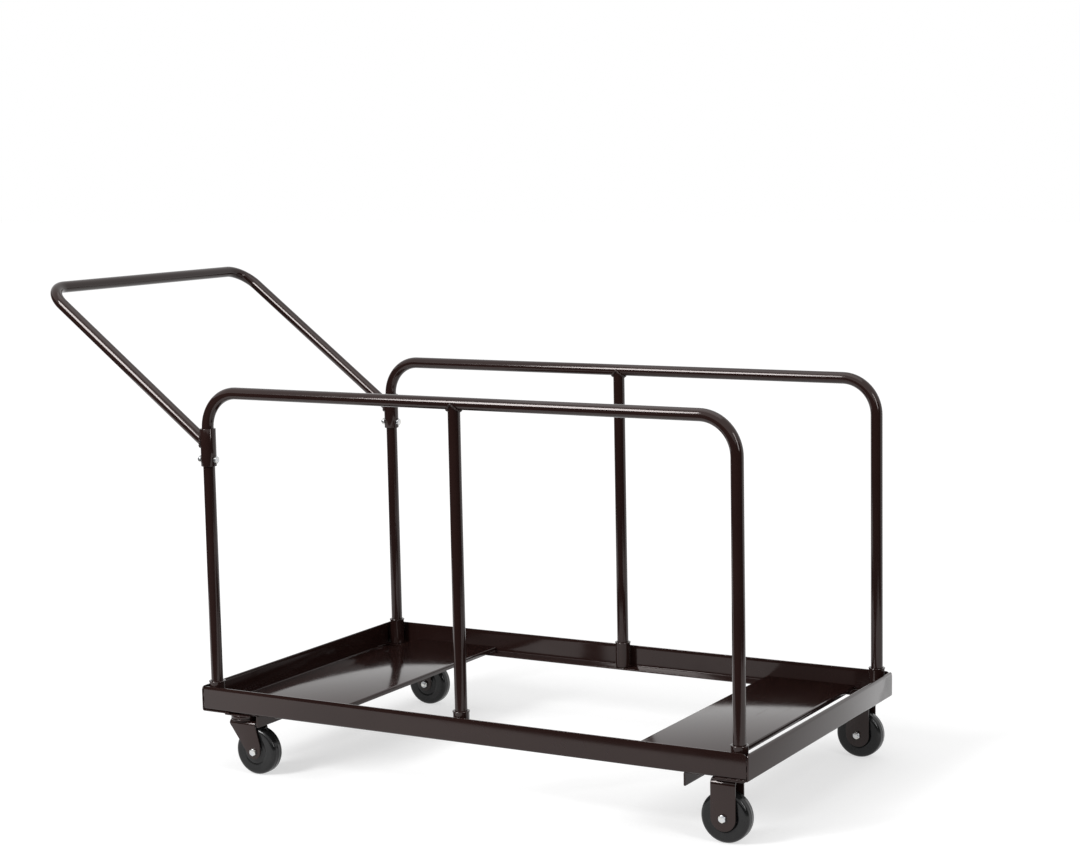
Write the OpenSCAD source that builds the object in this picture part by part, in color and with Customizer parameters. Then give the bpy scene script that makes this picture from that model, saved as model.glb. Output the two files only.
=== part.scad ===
// Banquet table trolley: a bent-steel base on casters, a tube hoop along each side and a push handle.
// +X runs along the base away from the handle, +Y from the front side to the rear, +Z up.
// The origin is on the floor, below the middle of the whole trolley. Sizes are in millimetres.

/* [Base] */
// Length of the base over both end rails
base_l = 1280; // [1000:10:1800]
// Height of the standing leg of the side rails
rail_h = 50.8; // [40:0.4:76]
// Thickness of the bent steel of the rails and cross angles
rail_t = 3.2; // [2.4:0.1:4]
// Outside radius of the bend in the rails and cross angles
rail_bend_r = 4.8; // [4.2:0.1:8]
// Radius of the top corners at the rail ends
rail_corner_r = 9; // [3:0.5:16]
// Width of the lying leg of the side rails
side_flange_w = 40; // [36:1:60]
// Width of the lying leg of the end rails
end_flange_w = 70; // [64:1:76]

/* [Cross angles] */
// Height of the cross angles over their hanging leg
cross_leg_h = 29; // [20:0.5:29]
// Distance from the ends of the cross angles to the faces of the side rails
cross_setback = 8; // [1:0.5:15]
// Free gap between the lying legs of an end rail and its cross angle
flange_gap = 27; // [16:0.5:32]
// Free gap between a cross angle and the top of the turning fork
cross_clear = 1.7; // [1:0.1:10]

/* [Decks] */
// Width of one deck along the base
deck_w = 210; // [120:5:300]
// Distance from a base end to the near edge of its deck
deck_inset = 84; // [60:1:140]
// Height of a deck over its turned-down edges
deck_h = 10; // [8:0.5:30]
// Thickness of the deck sheet
deck_t = 2.5; // [1.5:0.1:4]
// Outside radius of the bends in the deck sheet
deck_bend_r = 4; // [3:0.1:4.5]
// Gap between a deck end and the bend in the side rail
deck_gap = 0.2; // [0.1:0.1:3]

/* [Hoops and posts] */
// Outside diameter of the hoop and post tubes
tube_d = 25.4; // [22:0.2:28]
// Wall of all the tubes
tube_t = 1.6; // [1.2:0.1:3]
// Distance between the two hoops, centre to centre
hoop_spacing = 700.6; // [500:0.2:900]
// Height of the top bar's centre line above the floor
hoop_z = 815.4; // [600:0.2:1100]
// Centre line radius of the hoop bends
hoop_bend_r = 76; // [45:1:120]
// Distance from a base end to the upright at that end
upright_inset = 27; // [24:0.5:40]
// Gap left for the weld where one tube is cut to lie against another
weld_gap = 0.1; // [0.05:0.05:0.5]

/* [Sockets] */
// Wall of the sockets that hold the tubes
socket_wall = 3.8; // [2.5:0.1:4.5]
// Height of the sockets above the top of the side rails
socket_rise = 11; // [2:0.5:40]
// Clearance all round between a hoop tube and the socket or sleeve on it
tube_fit = 0.2; // [0.05:0.05:0.5]
// Gap between a socket and the side rail's standing leg
socket_gap = 0.2; // [0.1:0.1:1]

/* [Handle] */
// Outside diameter of the handle's tube
handle_d = 25.4; // [22:0.2:28]
// Level distance from the left uprights to the handle's crossbar
handle_reach = 430; // [250:1:600]
// Height of the crossbar above the top bars, centre to centre
handle_rise = 212; // [100:1:350]
// Centre line radius of the handle bends
handle_bend_r = 57; // [40:1:100]
// Length of the handle sleeves
sleeve_h = 80; // [66:1:140]
// Wall of the handle sleeves
sleeve_wall = 3.8; // [2.5:0.1:4.5]
// Gap between a sleeve's top and the start of the hoop bend
sleeve_gap = 1; // [0:0.5:20]
// Depth below a sleeve's top at which the arm's line meets the upright's centre
arm_root_drop = 36; // [30:0.5:45]
// Height of the sleeve bolt above the sleeve's lower end
bolt_rise = 14; // [9:0.5:16]

/* [Fasteners] */
// Shank diameter of the sleeve bolts and wheel axles
bolt_d = 9.5; // [7:0.1:10]
// Clearance all round between a bolt and its hole
bolt_fit = 0.2; // [0.1:0.05:0.5]
// Clearance all round between a nut's thread and its bolt
thread_fit = 0.05; // [0.02:0.01:0.1]
// Width across the flats of bolt heads and nuts
hex_af = 14.3; // [12.5:0.1:16]
// Height of the bolt heads
head_h = 6; // [3:0.1:8]
// Height of the nuts
nut_h = 7; // [4:0.1:9]
// Length of thread that stands out of a nut
bolt_tip = 3; // [1:0.5:8]

/* [Wheels] */
// Wheel diameter
wheel_d = 101.6; // [75:0.2:130]
// Tread width
tread_w = 31.8; // [24:0.2:33]
// Rounding of the tread's edges
tread_r = 6; // [2:0.5:9]
// Depth of the dish in the wheel's side faces
dish = 1.6; // [0.5:0.1:4]
// Width of the plain rim round the dish
rim_w = 10; // [8:0.5:16]
// Diameter of the hub
hub_d = 34; // [24:0.5:44]
// Side clearance between the hub and each fork leg
hub_clear = 0.5; // [0.3:0.1:2]
// Wall of the bush that the wheel turns on
bush_wall = 2.2; // [1.5:0.1:4]
// Running clearance all round between wheel and bush
bush_fit = 0.05; // [0.02:0.01:0.1]

/* [Forks] */
// Sheet thickness of the forks
fork_t = 3.2; // [2.4:0.1:4]
// Free width between the fork legs
fork_gap = 36; // [35:0.2:44]
// Outside radius of the bend between a swivel fork's crown and legs
fork_bend_r = 8; // [5:0.5:10]
// Free height between the wheel and the swivel fork's crown
crown_gap = 11.2; // [8:0.2:30]
// Width of the rigid fork's legs
rigid_leg_w = 52; // [40:1:60]
// Outside radius of the bend between a rigid fork's crown and legs
rigid_bend_r = 12; // [8:0.5:13]
// Distance from the swivel axis to the plain edge of the swivel fork
swivel_back = 26; // [24:0.5:34]
// Distance from the swivel axis to the trailing edge of the swivel fork's top
swivel_front = 40; // [30:0.5:44]
// Distance from the swivel axis to the wheel's axle
trail = 35; // [20:0.5:38]
// Radius of the swivel fork's leg round the axle
leg_end_r = 16; // [12:0.5:20]
// Height of the straight upper part of the swivel fork's plain edge, from the crown
swivel_shoulder = 9; // [8:0.5:24]

/* [Caster tops] */
// Length of the top plates along the base
plate_l = 68; // [64:1:78]
// Width of the top plates across the base
plate_w = 61; // [59:0.5:62]
// Thickness of the top plates
plate_t = 3.2; // [2.4:0.1:5]
// Corner radius of the top plates
plate_r = 6; // [2:0.5:12]
// Height of the bearing space between a top plate and the swivel crown below it
bearing_h = 11; // [9.5:0.1:12]
// Radius of the two pressed races of a swivel caster
race_r = 30; // [28.5:0.5:30.5]
// Thickness of one pressed race
race_t = 3; // [2.6:0.1:3.5]
// Wall of the skirt of the upper race that hides the balls
skirt_t = 3; // [2:0.1:3]
// Gap between that skirt and the lower race
skirt_gap = 0.8; // [0.5:0.1:2]
// Radius of the circle that the balls run on
ball_ring_r = 22; // [18:0.5:23]
// Diameter of one ball
ball_d = 6.35; // [5.5:0.05:7]
// Number of balls in one race
ball_count = 16; // [8:1:18]
// Clearance all round between a ball and its grooves
ball_fit = 0.1; // [0.05:0.05:0.2]
// Diameter of the kingpins and fork rivets
pin_d = 12; // [8:0.5:16]
// Clearance all round between a kingpin or rivet and its holes
pin_fit = 0.05; // [0.02:0.01:0.1]
// Gap between a kingpin's head and the fork's crown
pin_head_gap = 0.3; // [0.2:0.1:1]
// Radius of the kingpins' heads
pin_head_r = 10; // [8.5:0.5:14]
// Radius of the fork rivets' heads
rivet_head_r = 8; // [7:0.5:9]
// Height of the heads of kingpins and rivets
pin_head_h = 4; // [2:0.5:6]

/* [Caster places] */
// Distance from the hoop's plane to the middle of the wheels
caster_inset = 12; // [11:0.5:16]
// Distance from the handle end of the base to the swivel axes
swivel_inset = 89; // [84:0.5:95]
// Distance from the other base end to the rigid wheels' axles
rigid_inset = 59; // [50:0.5:62]
// Distance from that end to the middle of the rigid top plates
rigid_plate_inset = 44; // [40:0.5:48]

/* [Hidden] */
$fn = 64;

// Finishes
paint = [0.24, 0.19, 0.18];
zinc = [0.75, 0.76, 0.78];
black_rubber = [0.12, 0.12, 0.12];

// Room past a face for a cut to go right through
past = 1;

// Heights above the floor
axle_z = wheel_d / 2;
crown_z = wheel_d + crown_gap + fork_t;
rigid_crown_z = crown_z + bearing_h;
caster_h = rigid_crown_z + plate_t;
rail_z = caster_h + rail_t;
foot_z = rail_z + rail_t;
rail_top = rail_z + rail_h;

// Tubes, sockets and sleeves
tube_r = tube_d / 2;
handle_r = handle_d / 2;
bore_r = tube_r + tube_fit;
socket_r = bore_r + socket_wall;
sleeve_r = bore_r + sleeve_wall;
hoop_y = hoop_spacing / 2;
hoop_span = base_l - 2 * upright_inset;
socket_h = rail_top + socket_rise - foot_z;
base_w = hoop_spacing + 2 * (socket_r + socket_gap + rail_t);

// Handle
sleeve_top = hoop_z - hoop_bend_r - sleeve_gap;
sleeve_z = sleeve_top - sleeve_h;
bolt_z = sleeve_z + bolt_rise;
root_z = sleeve_top - arm_root_drop;
arm_climb = hoop_z + handle_rise - root_z;
arm_angle = atan2(arm_climb, handle_reach);
arm_l = norm([handle_reach, arm_climb]);

// Forks and wheels
bolt_r = bolt_d / 2;
hole_r = bolt_r + bolt_fit;
hex_r = hex_af / 2 / cos(30);
fork_w = fork_gap + 2 * fork_t;
pin_r = pin_d / 2;
bush_r = hole_r + bush_wall;
hub_w = fork_gap - 2 * hub_clear;
ball_r = ball_d / 2;
ball_z = crown_z + bearing_h / 2;

// Places along the base, counted from its middle
swivel_x = -base_l / 2 + swivel_inset;
rigid_x = base_l / 2 - rigid_inset;
rigid_plate_shift = rigid_inset - rigid_plate_inset;
caster_y = hoop_y - caster_inset;
swing_r = norm([swivel_front, fork_w / 2]);
cross_inset = swivel_inset + swing_r + cross_clear;
cross_flange_w = cross_inset + rail_t - end_flange_w - flange_gap;

// Middle of the base in the trolley's own frame, with the handle's reach taken into account
base_x = (handle_reach + handle_r - upright_inset) / 2;

// Flat outlines

// L section with its heel at the origin, one leg along +X and one along +Y
module angle_section(stand, lie, t, r) {
  translate([0, r])
    square([t, stand - r]);
  translate([r, 0])
    square([lie - r, t]);
  intersection() {
    translate([r, r])
      difference() {
        circle(r);
        circle(r - t);
      }
    square(r);
  }
}

// Sheet folded down at both edges, its top on the X axis
module channel_section(w, h, t, r) {
  for (side = [0, 1])
    mirror([side, 0])
      translate([-w / 2, 0])
        mirror([0, 1])
          angle_section(h, w / 2, t, r);
}

// Plate as long as the base's rail, with its two top corners rounded
module rail_face(l, h, r) {
  translate([-l / 2, 0])
    square([l, h - r]);
  translate([-l / 2 + r, 0])
    square([l - 2 * r, h]);
  for (side = [-1, 1])
    translate([side * (l / 2 - r), h - r])
      circle(r);
}

// Oblong with all four corners rounded, centred
module round_plate(l, w, r) {
  square([l - 2 * r, w], center = true);
  square([l, w - 2 * r], center = true);
  for (x = [-1, 1], y = [-1, 1])
    translate([x * (l / 2 - r), y * (w / 2 - r)])
      circle(r);
}

// Ring of a tube's wall
module tube_section(r) {
  difference() {
    circle(r);
    circle(r - tube_t);
  }
}

// U section of a fork, open below, its top on the X axis
module fork_section(depth, bend_r) {
  for (side = [0, 1])
    mirror([side, 0])
      translate([-fork_w / 2, 0])
        mirror([0, 1])
          angle_section(depth, fork_w / 2, fork_t, bend_r);
}

// Half outline of the wheel: distance from the axle along X, width along Y
module wheel_section() {
  rim_r = wheel_d / 2;
  bore = bush_r + bush_fit;
  dish_r = rim_r - rim_w;
  difference() {
    union() {
      translate([0, -tread_w / 2])
        square([rim_r - tread_r, tread_w]);
      translate([0, -tread_w / 2 + tread_r])
        square([rim_r, tread_w - 2 * tread_r]);
      for (side = [-1, 1])
        translate([rim_r - tread_r, side * (tread_w / 2 - tread_r)])
          circle(tread_r);
      translate([0, -hub_w / 2])
        square([hub_d / 2, hub_w]);
    }
    for (side = [-1, 1])
      translate([hub_d / 2, side * tread_w / 2 - dish])
        square([dish_r - hub_d / 2, 2 * dish]);
    translate([-past, -hub_w])
      square([bore + past, 2 * hub_w]);
  }
}

// Place along a circle where a straight edge from a point outside just touches it
function touch_point(p, c, r) =
  let (
    d = p - c,
    turn = atan2(d[1], d[0]) + acos(r / norm(d))
  )
  c + r * [cos(turn), sin(turn)];

// Side outline of the swivel fork's leg: swivel axis at X 0, floor at Y 0
module swivel_leg() {
  axle = [trail, axle_z];
  shoulder = [-swivel_back, crown_z - swivel_shoulder];
  polygon([
    [-swivel_back, crown_z],
    [swivel_front, crown_z],
    [swivel_front, crown_z - swivel_shoulder],
    [trail + leg_end_r, axle_z + leg_end_r],
    [trail + leg_end_r, axle_z],
    axle,
    touch_point(shoulder, axle, leg_end_r),
    shoulder
  ]);
  translate(axle)
    circle(leg_end_r);
}

// Side outline of the rigid fork's leg: axle at X 0, floor at Y 0
module rigid_leg() {
  translate([-rigid_leg_w / 2, axle_z])
    square([rigid_leg_w, rigid_crown_z - axle_z]);
  translate([0, axle_z])
    circle(rigid_leg_w / 2);
}

// Solids that repeat

// Sets the base's own middle in the trolley's frame
module in_frame() {
  translate([base_x, 0, 0])
    children();
}

module tube(l, r) {
  linear_extrude(l)
    tube_section(r);
}

// Quarter bend in the XY plane, from the X axis to the Y axis
module tube_bend(bend_r, r) {
  rotate_extrude(angle = 90)
    translate([bend_r, 0])
      tube_section(r);
}

module hex_prism(h) {
  cylinder(r = hex_r, h = h, $fn = 6);
}

// Hex bolt along +Z: the head's seat is at Z 0 and the grip is what it clamps
module hex_bolt(grip) {
  translate([0, 0, -head_h])
    hex_prism(head_h);
  cylinder(r = bolt_r, h = grip + nut_h + bolt_tip);
}

module hex_nut() {
  difference() {
    hex_prism(nut_h);
    translate([0, 0, -past])
      cylinder(r = bolt_r + thread_fit, h = nut_h + 2 * past);
  }
}

// Base pieces

// Side rail for the front: standing leg outside, lying leg inside at the bottom
// It stops short of the bend in the end rails, and the weld fills that gap
module side_rail() {
  l = base_l - 2 * rail_bend_r;
  in_frame()
    intersection() {
      translate([-l / 2, -base_w / 2, rail_z])
        rotate([90, 0, 90])
          linear_extrude(l)
            angle_section(rail_h, side_flange_w, rail_t, rail_bend_r);
      translate([0, -base_w / 2 + side_flange_w + past, rail_z])
        rotate([90, 0, 0])
          linear_extrude(side_flange_w + 2 * past)
            rail_face(l, rail_h, rail_corner_r);
    }
}

// End rail for the right end: it covers the ends of the side rails and its lying leg passes below them
module end_rail(side) {
  h = rail_h + rail_t;
  in_frame()
    mirror([side < 0 ? 1 : 0, 0, 0])
      intersection() {
        translate([base_l / 2, -base_w / 2, rail_z - rail_t])
          rotate([90, 0, 180])
            linear_extrude(base_w)
              angle_section(h, end_flange_w, rail_t, rail_bend_r);
        translate([base_l / 2 - end_flange_w - past, 0, rail_z - rail_t])
          rotate([90, 0, 90])
            linear_extrude(end_flange_w + 2 * past)
              rail_face(base_w, h, rail_corner_r);
      }
}

// Cross angle below the side rails, its hanging leg on the inner side
module cross_angle(side) {
  l = base_w - 2 * cross_setback;
  in_frame()
    mirror([side < 0 ? 1 : 0, 0, 0])
      translate([base_l / 2 - cross_inset - rail_t, -l / 2, rail_z])
        rotate([-90, 0, 0])
          linear_extrude(l)
            angle_section(cross_leg_h, cross_flange_w, rail_t, rail_bend_r);
}

// Deck that lies on the side rails' lying legs
module deck(side) {
  l = base_w - 2 * (rail_bend_r + deck_gap);
  in_frame()
    translate([side * (base_l / 2 - deck_inset - deck_w / 2), l / 2, foot_z + deck_h])
      rotate([90, 0, 0])
        linear_extrude(l)
          channel_section(deck_w, deck_h, deck_t, deck_bend_r);
}

// Socket for a tube, its foot chamfered to clear the bend in the side rail
module socket(along, side) {
  chamfer = rail_bend_r - rail_t;
  in_frame()
    translate([along * hoop_span / 2, side * hoop_y, foot_z])
      rotate_extrude()
        polygon([
          [bore_r, 0],
          [socket_r - chamfer, 0],
          [socket_r, chamfer],
          [socket_r, socket_h],
          [bore_r, socket_h]
        ]);
}

// Cross hole for the sleeve bolt through the left upright
module sleeve_bolt_hole(side) {
  translate([-hoop_span / 2 - sleeve_r - past, side * hoop_y, bolt_z])
    rotate([0, 90, 0])
      cylinder(r = hole_r, h = 2 * (sleeve_r + past));
}

module hoop(side) {
  half = hoop_span / 2;
  inner = half - hoop_bend_r;
  bend_z = hoop_z - hoop_bend_r;
  in_frame()
    difference() {
      translate([0, side * hoop_y, 0])
        rotate([90, 0, 0]) {
          for (end = [-1, 1])
            translate([end * half, bend_z, 0])
              rotate([90, 0, 0])
                tube(bend_z - foot_z, tube_r);
          for (end = [0, 1])
            mirror([end, 0, 0])
              translate([inner, bend_z, 0])
                tube_bend(hoop_bend_r, tube_r);
          translate([-inner, bend_z + hoop_bend_r, 0])
            rotate([0, 90, 0])
              tube(2 * inner, tube_r);
        }
      sleeve_bolt_hole(side);
    }
}

// Middle post, its top cut to lie against the hoop's top bar
module post(side) {
  in_frame()
    translate([0, side * hoop_y, 0])
      difference() {
        translate([0, 0, foot_z])
          tube(hoop_z - foot_z, tube_r);
        translate([-tube_d, 0, hoop_z])
          rotate([0, 90, 0])
            cylinder(r = tube_r + weld_gap, h = 2 * tube_d);
      }
}

// Handle pieces

// Bent tube of the handle, each arm cut to lie against its sleeve
module handle_tube() {
  inner = hoop_y - handle_bend_r;
  in_frame()
    difference() {
      translate([-hoop_span / 2, 0, root_z])
        rotate([0, 180 + arm_angle, 0]) {
          for (side = [-1, 1])
            translate([0, side * hoop_y, 0])
              rotate([0, 90, 0])
                tube(arm_l - handle_bend_r, handle_r);
          for (side = [0, 1])
            mirror([0, side, 0])
              translate([arm_l - handle_bend_r, inner, 0])
                tube_bend(handle_bend_r, handle_r);
          translate([arm_l, -inner, 0])
            rotate([-90, 0, 0])
              tube(2 * inner, handle_r);
        }
      for (side = [-1, 1])
        translate([-hoop_span / 2, side * hoop_y, sleeve_z])
          cylinder(r = sleeve_r + weld_gap, h = sleeve_h);
    }
}

module sleeve(side) {
  in_frame()
    difference() {
      translate([-hoop_span / 2, side * hoop_y, sleeve_z])
        difference() {
          cylinder(r = sleeve_r, h = sleeve_h);
          translate([0, 0, -past])
            cylinder(r = bore_r, h = sleeve_h + 2 * past);
        }
      sleeve_bolt_hole(side);
    }
}

module sleeve_bolt(side) {
  in_frame()
    translate([-hoop_span / 2 + sleeve_r, side * hoop_y, bolt_z])
      rotate([0, -90, 0])
        hex_bolt(2 * sleeve_r);
}

module sleeve_nut(side) {
  in_frame()
    translate([-hoop_span / 2 - sleeve_r, side * hoop_y, bolt_z])
      rotate([0, -90, 0])
        hex_nut();
}

// Caster pieces: the swivel axis or axle is above the origin, with the bolt heads towards -Y

module at_swivel(side) {
  in_frame()
    translate([swivel_x, side * caster_y, 0])
      mirror([0, side > 0 ? 1 : 0, 0])
        children();
}

module at_rigid(side) {
  in_frame()
    translate([rigid_x, side * caster_y, 0])
      mirror([0, side > 0 ? 1 : 0, 0])
        children();
}

// Ring that the balls run in, with its clearance
module ball_track() {
  translate([0, 0, ball_z])
    rotate_extrude()
      translate([ball_ring_r, 0])
        circle(ball_r + ball_fit);
}

// Top plate of a swivel caster with the upper race below it, a cup that covers the balls
module swivel_plate() {
  cup_top = caster_h - plate_t;
  cup_z = crown_z + race_t + skirt_gap;
  difference() {
    union() {
      translate([0, 0, cup_top])
        linear_extrude(plate_t)
          round_plate(plate_l, plate_w, plate_r);
      translate([0, 0, cup_z])
        cylinder(r = race_r, h = cup_top - cup_z);
    }
    translate([0, 0, cup_z - past])
      cylinder(r = race_r - skirt_t, h = cup_top - race_t - cup_z + past);
    translate([0, 0, crown_z])
      cylinder(r = pin_r + pin_fit, h = caster_h);
    ball_track();
  }
}

// Kingpin: fixed in the plate, running in the crown, with a head below the crown
module kingpin() {
  under = crown_z - fork_t - pin_head_gap;
  translate([0, 0, under])
    cylinder(r = pin_r, h = caster_h - under);
  translate([0, 0, under - pin_head_h])
    cylinder(r = pin_head_r, h = pin_head_h);
}

module ball_ring() {
  for (i = [0:ball_count - 1])
    rotate([0, 0, i * 360 / ball_count])
      translate([ball_ring_r, 0, ball_z])
        sphere(r = ball_r);
}

// Pressed fork: its U section cut to the side outline of its legs, with the axle holes
module pressed_fork(back, front, axle_x, top, bend_r) {
  difference() {
    intersection() {
      translate([-back, 0, top])
        rotate([90, 0, 90])
          linear_extrude(back + front)
            fork_section(top, bend_r);
      translate([0, fork_w, 0])
        rotate([90, 0, 0])
          linear_extrude(2 * fork_w)
            children();
    }
    translate([axle_x, -fork_w, axle_z])
      rotate([-90, 0, 0])
        cylinder(r = hole_r, h = 2 * fork_w);
  }
}

// Swivel fork with the lower race on its crown
module swivel_fork() {
  difference() {
    union() {
      pressed_fork(swivel_back, trail + leg_end_r, trail, crown_z, fork_bend_r)
        swivel_leg();
      translate([0, 0, crown_z])
        cylinder(r = race_r, h = race_t);
    }
    translate([0, 0, crown_z - fork_t - past])
      cylinder(r = pin_r + pin_fit, h = fork_t + race_t + 2 * past);
    ball_track();
  }
}

// Rigid fork, its crown flat against its top plate
module rigid_fork() {
  difference() {
    pressed_fork(rigid_leg_w / 2, rigid_leg_w / 2, 0, rigid_crown_z, rigid_bend_r)
      rigid_leg();
    translate([0, 0, rigid_crown_z - fork_t - past])
      cylinder(r = pin_r + pin_fit, h = fork_t + 2 * past);
  }
}

module rigid_plate() {
  difference() {
    translate([rigid_plate_shift, 0, caster_h - plate_t])
      linear_extrude(plate_t)
        round_plate(plate_l, plate_w, plate_r);
    translate([0, 0, crown_z])
      cylinder(r = pin_r + pin_fit, h = caster_h);
  }
}

module fork_rivet() {
  under = rigid_crown_z - fork_t;
  translate([0, 0, under])
    cylinder(r = pin_r, h = caster_h - under);
  translate([0, 0, under - pin_head_h])
    cylinder(r = rivet_head_r, h = pin_head_h);
}

module bush(axle_x) {
  translate([axle_x, fork_gap / 2, axle_z])
    rotate([90, 0, 0])
      difference() {
        cylinder(r = bush_r, h = fork_gap);
        translate([0, 0, -past])
          cylinder(r = hole_r, h = fork_gap + 2 * past);
      }
}

module axle(axle_x) {
  translate([axle_x, -fork_w / 2, axle_z])
    rotate([-90, 0, 0])
      hex_bolt(fork_w);
}

module axle_nut(axle_x) {
  translate([axle_x, fork_w / 2, axle_z])
    rotate([-90, 0, 0])
      hex_nut();
}

module wheel(axle_x) {
  translate([axle_x, 0, axle_z])
    rotate([90, 0, 0])
      rotate_extrude()
        wheel_section();
}

// One module for each piece of the trolley

module front_side_rail() { color(paint) side_rail(); }
module rear_side_rail() { color(paint) mirror([0, 1, 0]) side_rail(); }
module left_end_rail() { color(paint) end_rail(-1); }
module right_end_rail() { color(paint) end_rail(1); }
module left_cross_angle() { color(paint) cross_angle(-1); }
module right_cross_angle() { color(paint) cross_angle(1); }
module left_deck() { color(paint) deck(-1); }
module right_deck() { color(paint) deck(1); }
module front_left_socket() { color(paint) socket(-1, -1); }
module front_middle_socket() { color(paint) socket(0, -1); }
module front_right_socket() { color(paint) socket(1, -1); }
module rear_left_socket() { color(paint) socket(-1, 1); }
module rear_middle_socket() { color(paint) socket(0, 1); }
module rear_right_socket() { color(paint) socket(1, 1); }
module front_hoop() { color(paint) hoop(-1); }
module rear_hoop() { color(paint) hoop(1); }
module front_post() { color(paint) post(-1); }
module rear_post() { color(paint) post(1); }
module handle_bar() { color(paint) handle_tube(); }
module front_handle_sleeve() { color(paint) sleeve(-1); }
module rear_handle_sleeve() { color(paint) sleeve(1); }
module front_sleeve_bolt() { color(zinc) sleeve_bolt(-1); }
module rear_sleeve_bolt() { color(zinc) sleeve_bolt(1); }
module front_sleeve_nut() { color(zinc) sleeve_nut(-1); }
module rear_sleeve_nut() { color(zinc) sleeve_nut(1); }
module front_left_plate() { color(paint) at_swivel(-1) swivel_plate(); }
module front_left_kingpin() { color(zinc) at_swivel(-1) kingpin(); }
module front_left_balls() { color(zinc) at_swivel(-1) ball_ring(); }
module front_left_fork() { color(paint) at_swivel(-1) swivel_fork(); }
module front_left_bush() { color(zinc) at_swivel(-1) bush(trail); }
module front_left_axle() { color(zinc) at_swivel(-1) axle(trail); }
module front_left_axle_nut() { color(zinc) at_swivel(-1) axle_nut(trail); }
module front_left_wheel() { color(black_rubber) at_swivel(-1) wheel(trail); }
module rear_left_plate() { color(paint) at_swivel(1) swivel_plate(); }
module rear_left_kingpin() { color(zinc) at_swivel(1) kingpin(); }
module rear_left_balls() { color(zinc) at_swivel(1) ball_ring(); }
module rear_left_fork() { color(paint) at_swivel(1) swivel_fork(); }
module rear_left_bush() { color(zinc) at_swivel(1) bush(trail); }
module rear_left_axle() { color(zinc) at_swivel(1) axle(trail); }
module rear_left_axle_nut() { color(zinc) at_swivel(1) axle_nut(trail); }
module rear_left_wheel() { color(black_rubber) at_swivel(1) wheel(trail); }
module front_right_plate() { color(paint) at_rigid(-1) rigid_plate(); }
module front_right_rivet() { color(zinc) at_rigid(-1) fork_rivet(); }
module front_right_fork() { color(paint) at_rigid(-1) rigid_fork(); }
module front_right_bush() { color(zinc) at_rigid(-1) bush(0); }
module front_right_axle() { color(zinc) at_rigid(-1) axle(0); }
module front_right_axle_nut() { color(zinc) at_rigid(-1) axle_nut(0); }
module front_right_wheel() { color(black_rubber) at_rigid(-1) wheel(0); }
module rear_right_plate() { color(paint) at_rigid(1) rigid_plate(); }
module rear_right_rivet() { color(zinc) at_rigid(1) fork_rivet(); }
module rear_right_fork() { color(paint) at_rigid(1) rigid_fork(); }
module rear_right_bush() { color(zinc) at_rigid(1) bush(0); }
module rear_right_axle() { color(zinc) at_rigid(1) axle(0); }
module rear_right_axle_nut() { color(zinc) at_rigid(1) axle_nut(0); }
module rear_right_wheel() { color(black_rubber) at_rigid(1) wheel(0); }

front_side_rail();
rear_side_rail();
left_end_rail();
right_end_rail();
left_cross_angle();
right_cross_angle();
left_deck();
right_deck();
front_left_socket();
front_middle_socket();
front_right_socket();
rear_left_socket();
rear_middle_socket();
rear_right_socket();
front_hoop();
rear_hoop();
front_post();
rear_post();
handle_bar();
front_handle_sleeve();
rear_handle_sleeve();
front_sleeve_bolt();
rear_sleeve_bolt();
front_sleeve_nut();
rear_sleeve_nut();
front_left_plate();
front_left_kingpin();
front_left_balls();
front_left_fork();
front_left_bush();
front_left_axle();
front_left_axle_nut();
front_left_wheel();
rear_left_plate();
rear_left_kingpin();
rear_left_balls();
rear_left_fork();
rear_left_bush();
rear_left_axle();
rear_left_axle_nut();
rear_left_wheel();
front_right_plate();
front_right_rivet();
front_right_fork();
front_right_bush();
front_right_axle();
front_right_axle_nut();
front_right_wheel();
rear_right_plate();
rear_right_rivet();
rear_right_fork();
rear_right_bush();
rear_right_axle();
rear_right_axle_nut();
rear_right_wheel();
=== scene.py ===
import math

import bpy
from mathutils import Matrix, Vector


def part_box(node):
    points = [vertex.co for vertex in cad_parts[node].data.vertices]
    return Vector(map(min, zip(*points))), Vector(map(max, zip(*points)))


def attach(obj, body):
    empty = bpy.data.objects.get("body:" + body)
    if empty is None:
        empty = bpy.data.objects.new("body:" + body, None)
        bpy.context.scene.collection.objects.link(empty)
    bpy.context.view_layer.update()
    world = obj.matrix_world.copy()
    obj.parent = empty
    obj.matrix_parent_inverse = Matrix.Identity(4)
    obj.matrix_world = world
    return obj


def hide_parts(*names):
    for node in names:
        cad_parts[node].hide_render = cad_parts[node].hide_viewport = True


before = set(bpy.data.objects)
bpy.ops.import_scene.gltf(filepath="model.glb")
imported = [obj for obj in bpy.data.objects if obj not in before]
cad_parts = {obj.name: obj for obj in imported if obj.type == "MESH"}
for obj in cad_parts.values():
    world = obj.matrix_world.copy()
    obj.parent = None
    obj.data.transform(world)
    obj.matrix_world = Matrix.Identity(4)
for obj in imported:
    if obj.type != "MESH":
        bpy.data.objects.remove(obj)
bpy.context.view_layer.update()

# Side rails. Two long angles of 3.2 mm steel with the standing leg outside carry the hoops and decks.
# They are bent from sheet, with rounded top corners, and coated in gloss dark brown powder.
rail_sheet = 0.0032
rail_bend = 0.0048
rail_corner = 0.009
cut_edge = 0.0006
coat_deep = (0.0142, 0.0062, 0.0053, 1)
coat_pale = (0.0190, 0.0092, 0.0080, 1)
coat_rubbed = (0.072, 0.050, 0.045, 1)
coat_sheen = (1.0, 0.93, 0.91, 1)
same_place = 1e-5


def new_finish(name):
    """New material with its node tree, its shader and the coordinates of the piece."""
    made = bpy.data.materials.new(name)
    made.use_nodes = True
    tree = made.node_tree
    coords = tree.nodes.new("ShaderNodeTexCoord").outputs["Object"]
    return made, tree, tree.nodes["Principled BSDF"], coords


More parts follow.
